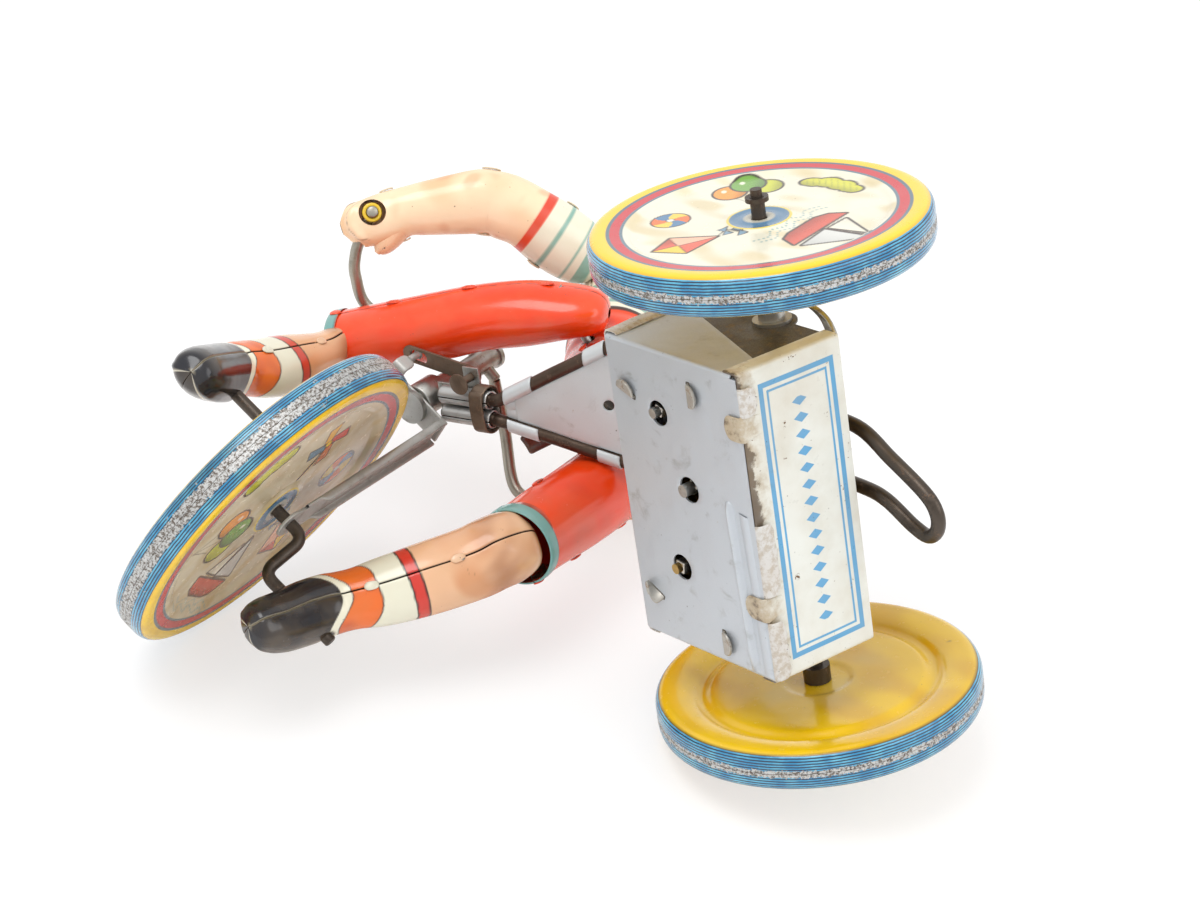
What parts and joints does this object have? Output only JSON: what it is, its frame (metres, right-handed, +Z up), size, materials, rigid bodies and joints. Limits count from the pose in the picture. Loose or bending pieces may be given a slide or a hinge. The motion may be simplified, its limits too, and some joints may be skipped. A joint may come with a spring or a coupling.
{
  "type": "wind-up tin tricycle toy",
  "caption": "Wind-up tin tricycle with a jointed rider, wire key, clockwork box between the rear wheels, steered fork and bent cranks.",
  "frame": {"origin": "on the ground, under the middle of the rear axle", "axes": "+X forward, +Y to the rider's left, +Z up"},
  "size_m": [0.1968, 0.134, 0.2053],
  "materials": {
    "tin_grey": "dull tinplate",
    "tin_cream": "worn gloss",
    "steel_dark": "browned",
    "steel": "dull",
    "brass": "dull",
    "rod_brown": "browned",
    "maroon": "gloss",
    "orange": "gloss",
    "flesh": "gloss",
    "hair": "gloss",
    "wheel_print": "worn print",
    "wheel_yellow": "gloss"
  },
  "bodies": {
    "chassis": {"motor_tray": "tin_grey", "rear_plate": "tin_cream", "side_plates": "steel_dark", "movement_plate": "brass", "pillars": "steel", "clinch_lugs": "steel", "axle_bush_left": "steel", "axle_bush_right": "steel", "mainspring": "steel_dark", "corner_hook": "steel_dark", "backbone_plate": "tin_grey", "frame_rod_left": "rod_brown", "frame_rod_right": "rod_brown", "head_sleeves": "tin_grey", "head_strap": "rod_brown", "head_collar": "steel", "stop_link": "rod_brown", "saddle": "maroon", "saddle_post": "steel_dark", "body_front": "orange", "body_back": "orange", "head_front": "flesh", "head_back": "hair"},
    "rear_axle_set": {"rear_axle": "steel_dark", "axle_collars": "steel", "axle_pinion": "brass", "rear_wheel_left_outer": "wheel_print", "rear_wheel_left_inner": "wheel_yellow", "rear_wheel_right_outer": "wheel_print", "rear_wheel_right_inner": "wheel_yellow"},
    "winding_set": {"winding_arbor": "steel_dark", "winding_key": "steel_dark", "great_wheel": "brass", "crown_wheel": "brass"},
    "second_wheel": {"second_arbor": "brass"},
    "governor": {"governor_arbor": "steel", "governor_fan": "steel"},
    "steering": {"fork": "tin_grey", "steering_stem": "steel", "handlebar": "steel", "hand_rings": "wheel_yellow"},
    "front_wheel": {"front_wheel_left": "wheel_print", "front_wheel_right": "wheel_print"},
    "crank_set": {"crank": "steel_dark"},
    "hip_left": {"hip_pin_left": "steel"},
    "hip_right": {"hip_pin_right": "steel"},
    "thigh_left": {"thigh_left_upper": "orange", "thigh_left_lower": "orange"},
    "thigh_right": {"thigh_right_upper": "orange", "thigh_right_lower": "orange"},
    "lower_leg_left": {"lower_leg_left_outer": "flesh", "lower_leg_left_inner": "flesh"},
    "lower_leg_right": {"lower_leg_right_outer": "flesh", "lower_leg_right_inner": "flesh"},
    "arm_left": {"arm_left_upper": "flesh", "arm_left_lower": "flesh"},
    "arm_right": {"arm_right_upper": "flesh", "arm_right_lower": "flesh"}
  },
  "joints": [
    {"name": "rear_axle_spin", "type": "hinge", "parent": "chassis", "child": "rear_axle_set", "pos_m": [0, 0, 0.038], "axis": [0, 1, 0], "continuous": true},
    {"name": "winding_turn", "type": "hinge", "parent": "chassis", "child": "winding_set", "pos_m": [0.00292, 0.0047, 0.04074], "axis": [-0.6845, 0, 0.729], "continuous": true},
    {"name": "governor_turn", "type": "hinge", "parent": "chassis", "child": "governor", "pos_m": [0.00823, 0.02159, 0.04573], "axis": [-0.6845, 0, 0.729], "continuous": true},
    {"name": "second_turn", "type": "hinge", "parent": "chassis", "child": "second_wheel", "pos_m": [0.00804, -0.01656, 0.04555], "axis": [-0.6845, 0, 0.729], "continuous": true},
    {"name": "steering_turn", "type": "hinge", "parent": "chassis", "child": "steering", "pos_m": [0.1243, 0, 0.0432], "axis": [-0.4587, 0, 0.8886], "range_deg": [0, 4]},
    {"name": "front_wheel_spin", "type": "hinge", "parent": "steering", "child": "front_wheel", "pos_m": [0.1243, 0, 0.0432], "axis": [0.6706, 0.6561, 0.3461], "continuous": true},
    {"name": "pedal_rock", "type": "hinge", "parent": "steering", "child": "crank_set", "pos_m": [0.1243, 0, 0.0432], "axis": [0.6706, 0.6561, 0.3461], "range_deg": [-6, 6]},
    {"name": "hip_left_swing", "type": "hinge", "parent": "chassis", "child": "hip_left", "pos_m": [0.05913, 0.01336, 0.1098], "axis": [-0.0029, 0.1748, 0.9846], "range_deg": [-4, 4]},
    {"name": "hip_right_swing", "type": "hinge", "parent": "chassis", "child": "hip_right", "pos_m": [0.04633, -0.02177, 0.1117], "axis": [-0.8409, -0.4158, -0.3463], "range_deg": [-4, 4]},
    {"name": "knee_left_lift", "type": "hinge", "parent": "hip_left", "child": "thigh_left", "pos_m": [0.05913, 0.01336, 0.1098], "axis": [0.4067, 0.9135, 0], "range_deg": [-6, 6]},
    {"name": "knee_right_lift", "type": "hinge", "parent": "hip_right", "child": "thigh_right", "pos_m": [0.04633, -0.02177, 0.1117], "axis": [0.4067, 0.9135, 0], "range_deg": [-6, 6]},
    {"name": "foot_left_tilt", "type": "hinge", "parent": "crank_set", "child": "lower_leg_left", "pos_m": [0.13471, 0.02204, 0.06214], "axis": [0.6706, 0.6561, 0.3461], "range_deg": [-7, 7]},
    {"name": "foot_right_tilt", "type": "hinge", "parent": "crank_set", "child": "lower_leg_right", "pos_m": [0.11389, -0.02204, 0.02426], "axis": [0.6706, 0.6561, 0.3461], "range_deg": [-7, 7]},
    {"name": "arm_left_swing", "type": "hinge", "parent": "chassis", "child": "arm_left", "pos_m": [0.05803, 0.02096, 0.143], "axis": [0.045, 0.5788, 0.8142], "range_deg": [-4, 4]},
    {"name": "arm_right_swing", "type": "hinge", "parent": "chassis", "child": "arm_right", "pos_m": [0.03728, -0.02563, 0.143], "axis": [-0.685, -0.6961, -0.2149], "range_deg": [-5, 5]}
  ],
  "couplings": [
    {"joint": "winding_turn", "follows": "rear_axle_spin", "ratio": -0.22222},
    {"joint": "governor_turn", "follows": "rear_axle_spin", "ratio": 1.0556},
    {"joint": "second_turn", "follows": "rear_axle_spin", "ratio": 0.46914},
    {"joint": "hip_left_swing", "follows": "steering_turn", "ratio": 0.45945},
    {"joint": "hip_right_swing", "follows": "steering_turn", "ratio": 0.74258},
    {"joint": "knee_left_lift", "follows": "pedal_rock", "ratio": -0.1158},
    {"joint": "knee_right_lift", "follows": "pedal_rock", "ratio": 0.155},
    {"joint": "foot_left_tilt", "follows": "pedal_rock", "ratio": -1},
    {"joint": "foot_right_tilt", "follows": "pedal_rock", "ratio": -1},
    {"joint": "arm_left_swing", "follows": "steering_turn", "ratio": 0.74175},
    {"joint": "arm_right_swing", "follows": "steering_turn", "ratio": 0.97478}
  ]
}
